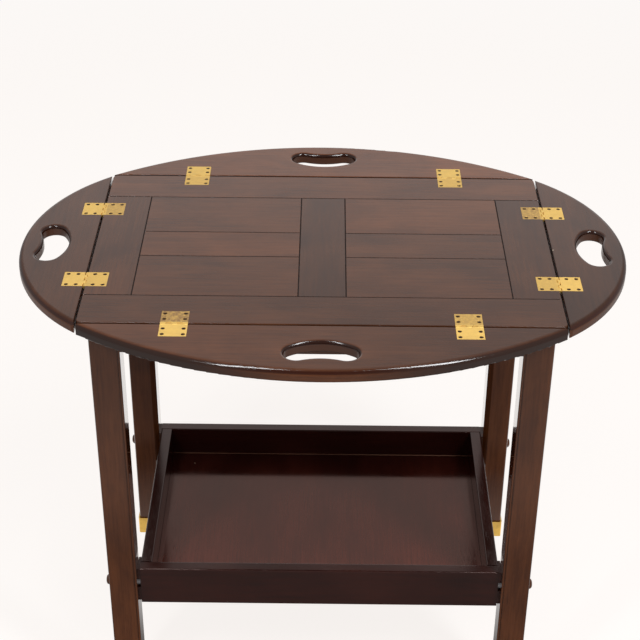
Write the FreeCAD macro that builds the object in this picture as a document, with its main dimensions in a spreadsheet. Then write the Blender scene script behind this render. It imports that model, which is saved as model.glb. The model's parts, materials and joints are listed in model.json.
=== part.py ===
import FreeCAD, Part
import math
import os
from types import SimpleNamespace

import Sketcher
from FreeCAD import Placement, Rotation, Vector

# Tea trolley: an oval tray top with four fold-up flaps, on a four-legged base with a lower tray.
# Lengths are millimetres. X runs along the trolley, the front faces -Y, and the floor is Z = 0.

SIZES = {
    # Top: the tray is the middle rectangle, measured to the middle of its joints with the flaps
    "top_height": 740,
    "top_thickness": 18,
    "tray_length": 674,
    "tray_depth": 440,
    "joint_gap": 2.8,
    "joint_ease": 1.5,
    "tray_corner": 7,
    "lip_height": 8,
    "lip_play": 0.6,
    "rail_width": 73.5,
    "stile_width": 69.5,
    "muntin_width": 67.5,
    "middle_board": 72,
    "tongue_depth": 8,
    "tongue_thick": 7,
    "tongue_play": 0.2,
    "vee_bevel": 1,
    # Flaps: how far each reaches out of its joint, and the kidney-shaped hand-hole
    "long_flap_reach": 112.5,
    "end_flap_reach": 109.5,
    "tip_inset": 2,
    "tip_width": 4,
    "rim_round": 8,
    "rim_ease": 3,
    "grip_half_span": 33.5,
    "grip_crown": 39.5,
    "grip_centre": 66,
    "grip_waist": 77.5,
    "grip_lobe": 17,
    "grip_round": 5,
    "grip_ease": 3,
    # Flush hinges
    "hinge_reach": 31.75,
    "hinge_width": 38.1,
    "long_hinge_spot": 201,
    "end_hinge_spot": 105,
    "leaf_thick": 2,
    "leaf_corner": 0.8,
    "leaf_play": 0.1,
    "knuckle_radius": 1.8,
    "knuckle_play": 0.15,
    "knuckle_slot": 2.3,
    "barrel_play": 0.4,
    "hinge_pin_radius": 0.85,
    "hinge_pin_play": 0.05,
    "leaf_hole_radius": 1.6,
    "leaf_sink_radius": 3,
    "leaf_sink_depth": 1.5,
    "leaf_hole_side": 14.2,
    "leaf_hole_near": 12,
    "leaf_hole_far": 26,
    "spring_width": 12,
    "spring_thick": 0.8,
    "spring_gap": 0.3,
    "spring_tip": 1,
    "spring_seat_near": 16,
    "spring_seat_far": 24,
    "spring_play": 0.3,
    # Battens under the tray
    "batten_width": 22,
    "batten_height": 18,
    "batten_half_length": 156,
    "batten_play": 1,
    "batten_screw_radius": 2,
    "batten_screw_head": 4,
    "batten_screw_length": 30,
    "batten_screw_pitch": 110,
    # Base
    "base_length": 648,
    "base_depth": 402,
    "leg_side": 43,
    "leg_round": 3,
    "leg_chamfer": 8,
    "bead_width": 3.4,
    "quirk_width": 1.2,
    "apron_height": 45,
    "apron_thick": 18,
    "apron_setback": 4,
    "tenon_length": 20,
    "tenon_thick": 8,
    "tenon_shoulder": 8,
    "tenon_play": 0.5,
    "block_reach": 60,
    "block_height": 22,
    "block_lift": 2,
    # Lower tray
    "shelf_inset": 4,
    "shelf_depth": 380,
    "shelf_rim": 271,
    "shelf_wall_height": 68,
    "shelf_wall": 18,
    "shelf_floor_drop": 51,
    "shelf_floor_thick": 8,
    "shelf_tongue_thick": 4,
    "shelf_tongue_depth": 6,
    "shelf_play": 0.3,
    "shelf_edge_round": 2,
    "shelf_screw_height": 242,
    "shelf_screw_radius": 3,
    "shelf_screw_play": 0.1,
    "shelf_screw_grip": 42,
    "shelf_screw_head": 6,
    "shelf_screw_head_thick": 4,
    "spacer_radius": 8,
    "counterbore_radius": 7,
    "counterbore_depth": 12,
    "button_radius": 8.5,
    "button_height": 6.5,
    "button_dome": 5,
    # Castors
    "wheel_radius": 19,
    "wheel_width": 15,
    "wheel_crown": 2,
    "wheel_web": 5,
    "wheel_rim": 6,
    "hub_radius": 7,
    "axle_radius": 2.5,
    "axle_play": 0.06,
    "castor_trail": 14,
    "crown_low": 40,
    "crown_thick": 6,
    "crown_radius": 12,
    "cheek_thick": 3.5,
    "cheek_end": 7,
    "fork_slot": 16,
    "fork_front_arc": 34,
    "fork_back_arc": 60,
    "swivel_gap": 0.3,
    "spigot_radius": 4,
    "spigot_play": 0.05,
    "spigot_flange": 6,
    "spigot_flange_thick": 1.3,
    "neck_radius": 13,
    "neck_foot": 10,
    "neck_height": 4,
    "cup_floor": 3,
    "cup_height": 33,
    "cup_wall": 2.1,
    "cup_round": 3,
    "cup_play": 0.1,
}

doc = FreeCAD.newDocument("tea_trolley")
sheet = doc.addObject("Spreadsheet::Sheet", "Sizes")
for row, (alias, number) in enumerate(SIZES.items(), start=1):
    sheet.set(f"A{row}", alias)
    sheet.set(f"B{row}", str(number))
    sheet.setAlias(f"B{row}", alias)
doc.recompute()


class Size:
    """A length that keeps the sheet expression it is bound to beside its value."""

    def __init__(self, text, value):
        self.text = text
        self.value = value

    def __add__(self, other):
        other = as_size(other)
        return Size(f"({self.text} + {other.text})", self.value + other.value)

    def __sub__(self, other):
        return self + -as_size(other)

    def __mul__(self, other):
        other = as_size(other)
        return Size(f"({self.text} * {other.text})", self.value * other.value)

    def __rmul__(self, other):
        return as_size(other) * self

    def __truediv__(self, other):
        other = as_size(other)
        return Size(f"({self.text} / {other.text})", self.value / other.value)

    def __neg__(self):
        return Size(f"(0 - {self.text})", -self.value)


def as_size(item):
    """Give a plain number the form of a sheet size."""
    if isinstance(item, Size):
        return item
    return Size(f"({item})", float(item))


dim = SimpleNamespace(**{alias: Size(f"Sizes.{alias}", float(sheet.get(alias))) for alias in SIZES})

# Levels and half sizes that several pieces share
top = dim.top_height
underside = top - dim.top_thickness
half_gap = dim.joint_gap / 2
half_length = dim.tray_length / 2
half_depth = dim.tray_depth / 2
lip_reach = half_gap - dim.lip_play
lip_span = (underside, underside + dim.lip_height)
field_depth = half_depth - dim.rail_width
field_length = half_length - dim.stile_width
pivot_height = top - dim.knuckle_radius
leg_inner_x = dim.base_length / 2 - dim.leg_side
leg_inner_y = dim.base_depth / 2 - dim.leg_side
apron_low = underside - dim.apron_height
crown_top = dim.crown_low + dim.crown_thick
neck_low = crown_top + dim.swivel_gap
cup_low = neck_low + dim.neck_height
leg_foot = cup_low + dim.cup_floor
shelf_end = leg_inner_x - dim.shelf_inset
shelf_low = dim.shelf_rim - dim.shelf_wall_height
shelf_floor_top = dim.shelf_rim - dim.shelf_floor_drop
shelf_floor_low = shelf_floor_top - dim.shelf_floor_thick
shelf_screw_y = dim.shelf_depth / 2 - dim.shelf_wall / 2
tongue_low = underside + dim.top_thickness / 2 - dim.tongue_thick / 2
tongue_span = (tongue_low, tongue_low + dim.tongue_thick)

MARGIN = 5
TOLERANCE = 1e-4
SKETCH_PLANES = {"X": "YZ_Plane", "Y": "XZ_Plane", "Z": "XY_Plane"}
CORNERS = {
    "front_left": (-1, -1),
    "front_right": (1, -1),
    "back_left": (-1, 1),
    "back_right": (1, 1),
}
# Each edge of the tray: its turn about Z from the front, and whether it is a long edge
EDGES = {"front": (0, True), "right": (90, False), "back": (180, True), "left": (270, False)}

subparts = []


# Drawing and feature helpers

def bind(item, path, length):
    item.setExpression(path, as_size(length).text)


def new_body(label, listed=True):
    body = doc.addObject("PartDesign::Body", label)
    body.Label = label
    if listed:
        subparts.append(body)
    return body


def turn_about_z(item, angle):
    item.Placement = Placement(Vector(0, 0, 0), Rotation(Vector(0, 0, 1), angle))


def new_sketch(body, role, height, shift=0):
    plane = next(item for item in body.Origin.OriginFeatures if item.Role == role)
    sketch = body.newObject("Sketcher::SketchObject", "Sketch")
    sketch.AttachmentSupport = [(plane, "")]
    sketch.MapMode = "FlatFace"
    bind(sketch, "AttachmentOffset.Base.x", shift)
    bind(sketch, "AttachmentOffset.Base.z", height)
    return sketch


def end_sketch(body, axis, span, cutting):
    """Sketch square to an axis, at the end of the span that its feature starts from."""
    low, high = span
    if axis == "Y":
        return new_sketch(body, SKETCH_PLANES[axis], -as_size(low if cutting else high))
    return new_sketch(body, SKETCH_PLANES[axis], high if cutting else low)


def constrain(sketch, kind, places, length):
    length = as_size(length)
    index = sketch.addConstraint(Sketcher.Constraint(kind, *places, length.value))
    sketch.setExpression(f"Constraints[{index}]", length.text)


def arc_between(start, end, radius, turn):
    """Arc of under a half circle; turn is 1 for anticlockwise and -1 for clockwise."""
    chord = end - start
    left = Vector(-chord.y, chord.x, 0).normalize()
    rise = math.sqrt(radius ** 2 - (chord.Length / 2) ** 2)
    centre = (start + end) / 2 + left * rise * turn
    first, last = (start, end) if turn > 0 else (end, start)
    from_angle = math.atan2(first.y - centre.y, first.x - centre.x)
    to_angle = math.atan2(last.y - centre.y, last.x - centre.x)
    if to_angle < from_angle:
        to_angle += 2 * math.pi
    return Part.ArcOfCircle(Part.Circle(centre, Vector(0, 0, 1), radius), from_angle, to_angle)


def draw(sketch, corners, arcs=None):
    """Closed outline through the corners; arcs gives (radius, turn) for the sides that are round."""
    arcs = arcs or {}
    points = [Vector(as_size(x).value, as_size(y).value, 0) for x, y in corners]
    sides = []
    for number, start in enumerate(points):
        end = points[(number + 1) % len(points)]
        if number in arcs:
            radius, turn = arcs[number]
            index = sketch.addGeometry(arc_between(start, end, as_size(radius).value, turn))
            constrain(sketch, "Radius", (index,), radius)
        else:
            index = sketch.addGeometry(Part.LineSegment(start, end))
        starts_first = (sketch.Geometry[index].StartPoint - start).Length < TOLERANCE
        sides.append((index, 1, 2) if starts_first else (index, 2, 1))
    for number, (x, y) in enumerate(corners):
        index, head, _ = sides[number]
        before, _, tail = sides[number - 1]
        sketch.addConstraint(Sketcher.Constraint("Coincident", before, tail, index, head))
        constrain(sketch, "DistanceX", (-1, 1, index, head), x)
        constrain(sketch, "DistanceY", (-1, 1, index, head), y)


def draw_circles(sketch, centres, radius):
    for x, y in centres:
        place = Vector(as_size(x).value, as_size(y).value, 0)
        index = sketch.addGeometry(Part.Circle(place, Vector(0, 0, 1), as_size(radius).value))
        constrain(sketch, "Radius", (index,), radius)
        constrain(sketch, "DistanceX", (-1, 1, index, 3), x)
        constrain(sketch, "DistanceY", (-1, 1, index, 3), y)


def settle(body, before=None):
    """Bring the document up to date, and make sure that a cut took something away."""
    doc.recompute()
    if before is not None and body.Shape.Volume > before - TOLERANCE:
        raise ValueError(f"a cut in {body.Label} missed the piece")


def extrude(body, sketch, span, cutting, taper=0):
    before = body.Shape.Volume if cutting else None
    kind = "PartDesign::Pocket" if cutting else "PartDesign::Pad"
    feature = body.newObject(kind, "Extrusion")
    feature.Profile = sketch
    feature.TaperAngle = taper
    bind(feature, "Length", as_size(span[1]) - span[0])
    settle(body, before)


def prism(body, axis, span, corners, arcs=None, cutting=False):
    sketch = end_sketch(body, axis, span, cutting)
    draw(sketch, corners, arcs)
    extrude(body, sketch, span, cutting)


def rods(body, axis, span, centres, radius, cutting=False, taper=0):
    sketch = end_sketch(body, axis, span, cutting)
    draw_circles(sketch, centres, radius)
    extrude(body, sketch, span, cutting, taper)


def block(body, x, y, z, cutting=False):
    prism(body, "Z", z, [(x[0], y[0]), (x[1], y[0]), (x[1], y[1]), (x[0], y[1])], cutting=cutting)


def revolve(body, sketch, axis, cutting=False):
    before = body.Shape.Volume if cutting else None
    kind = "PartDesign::Groove" if cutting else "PartDesign::Revolution"
    feature = body.newObject(kind, "Turning")
    feature.Profile = sketch
    feature.ReferenceAxis = (sketch, [axis])
    feature.Angle = 360
    settle(body, before)


def turned_about_x(body, profile, arcs=None):
    """Turned piece whose profile is given as (place along X, radius)."""
    sketch = new_sketch(body, "XZ_Plane", 0)
    draw(sketch, profile, arcs)
    revolve(body, sketch, "H_Axis")


def turned_about_z(body, profile, arcs=None):
    """Turned piece whose profile is given as (radius, height)."""
    sketch = new_sketch(body, "XZ_Plane", 0)
    draw(sketch, profile, arcs)
    revolve(body, sketch, "V_Axis")


def dress(body, kind, path, length, chosen):
    """Fillet or chamfer the edges of the piece that the chosen test picks."""
    base = body.Tip
    names = [f"Edge{n}" for n, edge in enumerate(base.Shape.Edges, start=1) if chosen(edge)]
    feature = body.newObject(f"PartDesign::{kind}", kind)
    feature.Base = (base, names)
    bind(feature, path, length)
    settle(body)


def at_height(edge, height):
    return all(abs(vertex.Z - as_size(height).value) < TOLERANCE for vertex in edge.Vertexes)


def stands_at(edge, depth):
    """Whether an edge is upright and lies at a place along Y."""
    ends = [vertex.Point for vertex in edge.Vertexes]
    upright = abs(ends[0].x - ends[-1].x) < TOLERANCE and abs(ends[0].z - ends[-1].z) > TOLERANCE
    return upright and all(abs(end.y - as_size(depth).value) < TOLERANCE for end in ends)


def group(label, master, places):
    """One node of separate, identical pieces, copied from a master body."""
    copies = []
    for place in places:
        copy = master.Shape.copy()
        copy.Placement = place.multiply(copy.Placement)
        copies.append(copy)
    item = doc.addObject("Part::Feature", label)
    item.Label = label
    item.Shape = Part.makeCompound(copies)
    item.Placement = Placement()
    subparts.append(item)


# Base: legs, aprons and corner blocks

def make_leg(corner, side_x, side_y):
    """Square leg with a quirk bead on its show edge and a chamfer towards the trolley's middle."""
    body = new_body(f"leg_{corner}")
    wide = dim.leg_side
    bead = dim.bead_width / 2
    quirk = wide - dim.bead_width - dim.quirk_width
    turn = side_x * side_y

    def at(inward_x, inward_y):
        return (side_x * (dim.base_length / 2 - inward_x), side_y * (dim.base_depth / 2 - inward_y))

    outline = [
        at(dim.leg_round, 0),
        at(quirk, 0),
        at(quirk, bead),
        at(wide - dim.bead_width, bead),
        at(wide - bead, 0),
        at(wide, bead),
        at(wide, wide - dim.leg_chamfer),
        at(wide - dim.leg_chamfer, wide),
        at(dim.leg_round, wide),
        at(0, wide - dim.leg_round),
        at(0, dim.leg_round),
    ]
    rounds = {3: (bead, turn), 4: (bead, turn), 8: (dim.leg_round, turn), 10: (dim.leg_round, turn)}
    prism(body, "Z", (leg_foot, underside), outline, rounds)

    mortise_near = dim.apron_setback + (dim.apron_thick - dim.tenon_thick) / 2
    mortise_far = mortise_near + dim.tenon_thick
    mortise_end = wide - dim.tenon_length - dim.tenon_play
    mortise_z = (apron_low + dim.tenon_shoulder, underside - dim.tenon_shoulder)
    for first, last in (
        (at(mortise_end, mortise_near), at(wide + MARGIN, mortise_far)),
        (at(mortise_near, mortise_end), at(mortise_far, wide + MARGIN)),
    ):
        block(body, (first[0], last[0]), (first[1], last[1]), mortise_z, cutting=True)

    screw = [(side_y * shelf_screw_y, dim.shelf_screw_height)]
    face = dim.base_length / 2
    for depth, radius in (
        (dim.counterbore_depth, dim.counterbore_radius),
        (wide + MARGIN, dim.shelf_screw_radius + dim.shelf_screw_play),
    ):
        ends = sorted((side_x * (face + MARGIN), side_x * (face - depth)), key=lambda end: end.value)
        rods(body, "X", tuple(ends), screw, radius, cutting=True)


def make_long_apron(name, side):
    """Front or back apron with a tenon at each end."""
    body = new_body(f"apron_{name}")
    outer = dim.base_depth / 2 - dim.apron_setback
    inner = outer - dim.apron_thick
    middle = (outer + inner) / 2
    cheek = dim.tenon_thick / 2
    tenon_end = leg_inner_x + dim.tenon_length
    block(body, (-leg_inner_x, leg_inner_x), (side * inner, side * outer), (apron_low, underside))
    block(
        body,
        (-tenon_end, tenon_end),
        (side * (middle - cheek), side * (middle + cheek)),
        (apron_low + dim.tenon_shoulder, underside - dim.tenon_shoulder),
    )


def make_short_apron(name, side):
    """Left or right apron with a tenon at each end."""
    body = new_body(f"apron_{name}")
    outer = dim.base_length / 2 - dim.apron_setback
    inner = outer - dim.apron_thick
    middle = (outer + inner) / 2
    cheek = dim.tenon_thick / 2
    tenon_end = leg_inner_y + dim.tenon_length
    block(body, (side * inner, side * outer), (-leg_inner_y, leg_inner_y), (apron_low, underside))
    block(
        body,
        (side * (middle - cheek), side * (middle + cheek)),
        (-tenon_end, tenon_end),
        (apron_low + dim.tenon_shoulder, underside - dim.tenon_shoulder),
    )


def make_corner_blocks():
    """Glue blocks across the apron corners, notched round the legs."""
    apron_x = dim.base_length / 2 - dim.apron_setback - dim.apron_thick
    apron_y = dim.base_depth / 2 - dim.apron_setback - dim.apron_thick
    low = apron_low + dim.block_lift
    bodies = []
    for corner, (side_x, side_y) in CORNERS.items():
        body = new_body(f"corner_block_{corner}", listed=False)
        outline = [
            (apron_x, apron_y - dim.block_reach),
            (apron_x, leg_inner_y),
            (leg_inner_x, leg_inner_y),
            (leg_inner_x, apron_y),
            (apron_x - dim.block_reach, apron_y),
        ]
        placed = [(side_x * x, side_y * y) for x, y in outline]
        prism(body, "Z", (low, low + dim.block_height), placed)
        bodies.append(body)
    blocks = doc.addObject("Part::Compound", "corner_blocks")
    blocks.Label = "corner_blocks"
    blocks.Links = bodies
    settle(blocks)
    subparts.append(blocks)


# Lower tray: walls, floor, and the screws and buttons that fix it to the legs

def round_rim_edges(body):
    """Ease the two long top edges of a wall of the lower tray."""
    def long_top_edge(edge):
        return at_height(edge, dim.shelf_rim) and edge.Length > 2 * dim.shelf_wall.value

    dress(body, "Fillet", "Radius", dim.shelf_edge_round, long_top_edge)


def make_long_shelf_wall(name, side):
    body = new_body(f"shelf_wall_{name}")
    outer = dim.shelf_depth / 2
    inner = outer - dim.shelf_wall
    block(body, (-shelf_end, shelf_end), (side * inner, side * outer), (shelf_low, dim.shelf_rim))
    round_rim_edges(body)
    groove_end = shelf_end - dim.shelf_wall + dim.shelf_tongue_depth
    block(
        body,
        (-groove_end, groove_end),
        (side * (inner - MARGIN), side * (inner + dim.shelf_tongue_depth)),
        (shelf_floor_low, shelf_floor_low + dim.shelf_tongue_thick),
        cutting=True,
    )
    hole_radius = dim.shelf_screw_radius + dim.shelf_screw_play / 2
    screw = [(side * shelf_screw_y, dim.shelf_screw_height)]
    hole_end = leg_inner_x - dim.shelf_screw_grip - dim.shelf_play
    rods(body, "X", (hole_end, shelf_end + MARGIN), screw, hole_radius, cutting=True)
    rods(body, "X", (-shelf_end - MARGIN, -hole_end), screw, hole_radius, cutting=True)


def make_short_shelf_wall(name, side):
    body = new_body(f"shelf_wall_{name}")
    inner = shelf_end - dim.shelf_wall
    end = dim.shelf_depth / 2 - dim.shelf_wall
    block(body, (side * inner, side * shelf_end), (-end, end), (shelf_low, dim.shelf_rim))
    round_rim_edges(body)
    block(
        body,
        (side * (inner - MARGIN), side * (inner + dim.shelf_tongue_depth)),
        (-end - MARGIN, end + MARGIN),
        (shelf_floor_low, shelf_floor_low + dim.shelf_tongue_thick),
        cutting=True,
    )


def make_shelf_floor():
    """Floor panel with a tongue all round that sits in the walls' grooves."""
    body = new_body("shelf_floor")
    inner_x = shelf_end - dim.shelf_wall
    inner_y = dim.shelf_depth / 2 - dim.shelf_wall
    face_x = inner_x - dim.shelf_play
    face_y = inner_y - dim.shelf_play
    tongue_x = inner_x + dim.shelf_tongue_depth - dim.shelf_play
    tongue_y = inner_y + dim.shelf_tongue_depth - dim.shelf_play
    tongue_top = shelf_floor_low + dim.shelf_tongue_thick
    block(body, (-tongue_x, tongue_x), (-tongue_y, tongue_y), (shelf_floor_low, tongue_top))
    block(body, (-face_x, face_x), (-face_y, face_y), (tongue_top, shelf_floor_top))


def shelf_screw_places():
    """Seats of the screws in the legs' outer faces, each turned to point out of its end."""
    places = []
    for side_x, side_y in CORNERS.values():
        seat = Vector(
            side_x * dim.base_length.value / 2, side_y * shelf_screw_y.value, dim.shelf_screw_height.value
        )
        places.append(Placement(seat, Rotation(Vector(0, 0, 1), 0 if side_x > 0 else 180)))
    return places


def make_shelf_screws():
    master = new_body("shelf_screw_master", listed=False)
    head_seat = -dim.counterbore_depth
    tip = -dim.leg_side - dim.shelf_screw_grip
    profile = [
        (tip, 0),
        (tip + dim.shelf_screw_radius, dim.shelf_screw_radius),
        (head_seat, dim.shelf_screw_radius),
        (head_seat, dim.shelf_screw_head),
        (head_seat + dim.shelf_screw_head_thick, dim.shelf_screw_head),
        (head_seat + dim.shelf_screw_head_thick, 0),
    ]
    turned_about_x(master, profile)
    group("shelf_screws", master, shelf_screw_places())


def make_shelf_spacers():
    """Rings on the screws that hold the lower tray clear of the legs."""
    master = new_body("shelf_spacer_master", listed=False)
    span = (-dim.leg_side - dim.shelf_inset, -dim.leg_side)
    rods(master, "X", span, [(0, 0)], dim.spacer_radius)
    bore = (span[0] - MARGIN, span[1] + MARGIN)
    rods(master, "X", bore, [(0, 0)], dim.shelf_screw_radius + dim.shelf_screw_play, cutting=True)
    group("shelf_spacers", master, shelf_screw_places())


def make_screw_buttons():
    """Domed wooden buttons whose plugs fill the counterbores."""
    master = new_body("screw_button_master", listed=False)
    plug_end = dim.shelf_screw_head_thick - dim.counterbore_depth
    plug_radius = dim.counterbore_radius - dim.shelf_screw_play / 2
    rods(master, "X", (0, dim.button_height), [(0, 0)], dim.button_radius)
    rods(master, "X", (plug_end, 0), [(0, 0)], plug_radius)

    def on_crown(edge):
        return all(abs(vertex.X - dim.button_height.value) < TOLERANCE for vertex in edge.Vertexes)

    dress(master, "Fillet", "Radius", dim.button_dome, on_crown)
    group("screw_buttons", master, shelf_screw_places())


# Tray top: frame, boards and battens. Rails and stiles are drawn as the front one, then turned

def edge_sizes(long_edge):
    """Distance of a joint from the middle, half the edge's length, and its hinges' places."""
    if long_edge:
        return half_depth, half_length, dim.long_hinge_spot
    return half_length, half_depth, dim.end_hinge_spot


def leaf_outline(middle, joint, side, grow):
    """Plan of a hinge leaf from its joint line; side is 1 towards the tray and -1 towards the flap."""
    half = dim.hinge_width / 2 + grow
    end = joint + side * (dim.hinge_reach + grow)
    corner = dim.leaf_corner + grow
    outline = [
        (middle - half, joint),
        (middle - half, end - side * corner),
        (middle - half + corner, end),
        (middle + half - corner, end),
        (middle + half, end - side * corner),
        (middle + half, joint),
    ]
    return outline, {1: (corner, -side), 3: (corner, -side)}


def cut_leaf_seats(body, long_edge, side):
    """Shallow seats that let the two hinge leaves lie flush, deeper along the joint for their barrels."""
    offset, _, spot = edge_sizes(long_edge)
    half = dim.hinge_width / 2 + dim.leaf_play
    barrel = dim.knuckle_radius + dim.barrel_play
    for middle in (-spot, spot):
        outline, rounds = leaf_outline(middle, -offset, side, dim.leaf_play)
        prism(body, "Z", (top - dim.leaf_thick, top + MARGIN), outline, rounds, cutting=True)
        block(
            body,
            (middle - half, middle + half),
            (-offset, -offset + side * barrel),
            (pivot_height - barrel, top + MARGIN),
            cutting=True,
        )


def cut_spring_seats(body, long_edge):
    """Deeper slots beside the joint for the detent springs."""
    offset, _, spot = edge_sizes(long_edge)
    half = dim.spring_width / 2 + dim.spring_play
    depth = 2 * dim.knuckle_radius + dim.spring_gap + dim.spring_thick + dim.spring_play
    for middle in (-spot, spot):
        block(
            body,
            (middle - half, middle + half),
            (-offset, -offset + dim.spring_seat_far + dim.spring_play),
            (top - depth, top + MARGIN),
            cutting=True,
        )


def bevel_top(body, chosen):
    dress(body, "Chamfer", "Size", dim.vee_bevel, lambda edge: at_height(edge, top) and chosen(edge))


def ease_top(body, chosen):
    dress(body, "Fillet", "Radius", dim.joint_ease, lambda edge: at_height(edge, top) and chosen(edge))


def make_rail(name, angle):
    """Full-length rail, grooved inside for the boards, lipped below to close the joints with the flaps."""
    body = new_body(f"tray_rail_{name}")
    end = half_length - half_gap
    outer = -half_depth + half_gap
    inner = -field_depth
    block(body, (-end, end), (outer, inner), (underside, top))
    dress(body, "Fillet", "Radius", dim.tray_corner, lambda edge: stands_at(edge, outer))
    bevel_top(body, lambda edge: abs(edge.CenterOfMass.y - inner.value) < TOLERANCE)
    ease_top(body, lambda edge: edge.CenterOfMass.y < inner.value - 2 * dim.vee_bevel.value)
    lip_length = half_length - 2 * dim.tray_corner
    block(body, (-lip_length, lip_length), (-half_depth - lip_reach, inner), lip_span)
    lip_end = half_length + lip_reach
    block(body, (-lip_end, lip_end), (2 * dim.tray_corner - half_depth, inner), lip_span)
    groove_end = half_length - dim.tongue_depth
    groove = inner - dim.tongue_depth - dim.tongue_play
    block(body, (-groove_end, groove_end), (groove, inner + MARGIN), tongue_span, cutting=True)
    cut_leaf_seats(body, True, 1)
    cut_spring_seats(body, True)
    turn_about_z(body, angle)


def make_stile(name, angle):
    """Stile between the rails, lipped like them, with stub tenons and screw holes for its batten."""
    body = new_body(f"tray_stile_{name}")
    outer = -half_length + half_gap
    inner = -field_length
    block(body, (-field_depth, field_depth), (outer, inner), (underside, top))
    bevel_top(body, lambda edge: edge.CenterOfMass.y > outer.value + dim.vee_bevel.value)
    ease_top(body, lambda edge: abs(edge.CenterOfMass.y - outer.value) < TOLERANCE)
    block(body, (-field_depth, field_depth), (-half_length - lip_reach, inner), lip_span)
    tenon_end = field_depth + dim.tongue_depth
    tenon_outer = -half_length + dim.tongue_depth + dim.tongue_play
    block(body, (-tenon_end, tenon_end), (tenon_outer, inner - dim.tongue_depth), tongue_span)
    groove = inner - dim.tongue_depth - dim.tongue_play
    groove_length = (-field_depth - MARGIN, field_depth + MARGIN)
    block(body, groove_length, (groove, inner + MARGIN), tongue_span, cutting=True)
    cut_leaf_seats(body, False, 1)
    cut_spring_seats(body, False)
    screws = [(place, -batten_middle) for place in batten_screw_spots]
    hole = underside + dim.batten_screw_length - dim.batten_height + dim.tongue_play
    hole_radius = dim.batten_screw_radius + dim.shelf_screw_play / 2
    rods(body, "Z", (underside - MARGIN, hole), screws, hole_radius, cutting=True)
    turn_about_z(body, angle)


def make_muntin():
    """Centre bar between the two fields of boards."""
    body = new_body("tray_muntin")
    half = dim.muntin_width / 2
    block(body, (-half, half), (-field_depth, field_depth), (underside, top))
    bevel_top(body, lambda edge: True)
    core = half - dim.tongue_depth - dim.tongue_play
    tenon_end = field_depth + dim.tongue_depth
    block(body, (-core, core), (-tenon_end, tenon_end), tongue_span)
    for side in (-1, 1):
        across = (side * core, side * (half + MARGIN))
        block(body, across, (-field_depth - MARGIN, field_depth + MARGIN), tongue_span, cutting=True)


def make_board(field, place, side, low, high):
    """Board along the tray, tongued into the muntin and the stile, and into a rail at the outside."""
    body = new_body(f"board_{field}_{place}")
    near = side * dim.muntin_width / 2
    far = side * field_length
    block(body, (near, far), (low, high), (underside, top))
    bevel_top(body, lambda edge: True)
    tongue = dim.tongue_depth
    tongue_y = {
        "front": (low - tongue, high),
        "middle": (low, high),
        "back": (low, high + tongue),
    }[place]
    block(body, (near - side * tongue, far + side * tongue), tongue_y, tongue_span)


def make_boards():
    joint = dim.middle_board / 2
    for field, side in (("left", -1), ("right", 1)):
        make_board(field, "front", side, -field_depth, -joint)
        make_board(field, "middle", side, -joint, joint)
        make_board(field, "back", side, joint, field_depth)


batten_outer = dim.base_length / 2 - dim.apron_setback - dim.apron_thick - dim.batten_play
batten_middle = batten_outer - dim.batten_width / 2
batten_screw_spots = (-dim.batten_screw_pitch, as_size(0), dim.batten_screw_pitch)


def make_batten(name, side):
    """Batten that keeps the tray flat and drops between the legs to hold it in place."""
    body = new_body(f"batten_{name}")
    across = (side * (batten_outer - dim.batten_width), side * batten_outer)
    length = (-dim.batten_half_length, dim.batten_half_length)
    low = underside - dim.batten_height
    block(body, across, length, (low, underside))
    screws = [(side * batten_middle, place) for place in batten_screw_spots]
    play = dim.shelf_screw_play / 2
    rods(body, "Z", (low - MARGIN, underside + MARGIN), screws, dim.batten_screw_radius + play, cutting=True)
    seat = low + dim.batten_screw_head + play
    rods(body, "Z", (low - MARGIN, seat), screws, dim.batten_screw_head + play, cutting=True)


def make_batten_screws():
    master = new_body("batten_screw_master", listed=False)
    profile = [
        (0, 0),
        (dim.batten_screw_head, 0),
        (dim.batten_screw_head, dim.batten_screw_radius),
        (dim.batten_screw_radius, dim.batten_screw_head),
        (dim.batten_screw_radius, dim.batten_screw_length - dim.batten_screw_radius),
        (0, dim.batten_screw_length),
    ]
    turned_about_z(master, profile)
    low = (underside - dim.batten_height).value
    places = [
        Placement(Vector(side * batten_middle.value, spot.value, low), Rotation())
        for side in (-1, 1)
        for spot in batten_screw_spots
    ]
    group("batten_screws", master, places)


# Flaps: circular segments with rounded rims and hand-holes, drawn as the front one, then turned

def flap_rim(long_edge):
    """Half length of the flap's tips, their distance out, and the rim's radius."""
    offset, half_edge, _ = edge_sizes(long_edge)
    reach = dim.long_flap_reach if long_edge else dim.end_flap_reach
    tip = half_edge - dim.tip_inset
    tip_out = half_gap + dim.tip_width
    rise = reach - tip_out
    radius = (tip * tip + rise * rise) / (2 * rise)
    return tip, offset + tip_out, radius, offset + reach


def round_flap_rim(body, centre, radius, height, side, round_radius):
    """Round the rim's upper (side 1) or lower (side -1) edge over its whole arc."""
    sketch = new_sketch(body, "YZ_Plane", 0, shift=centre)
    profile = [
        (-radius, height - side * round_radius),
        (round_radius - radius, height),
        (round_radius - radius, height + side * MARGIN),
        (-radius - MARGIN, height + side * MARGIN),
        (-radius - MARGIN, height - side * round_radius),
    ]
    draw(sketch, profile, {0: (round_radius, -side)})
    revolve(body, sketch, "V_Axis", cutting=True)


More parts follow.
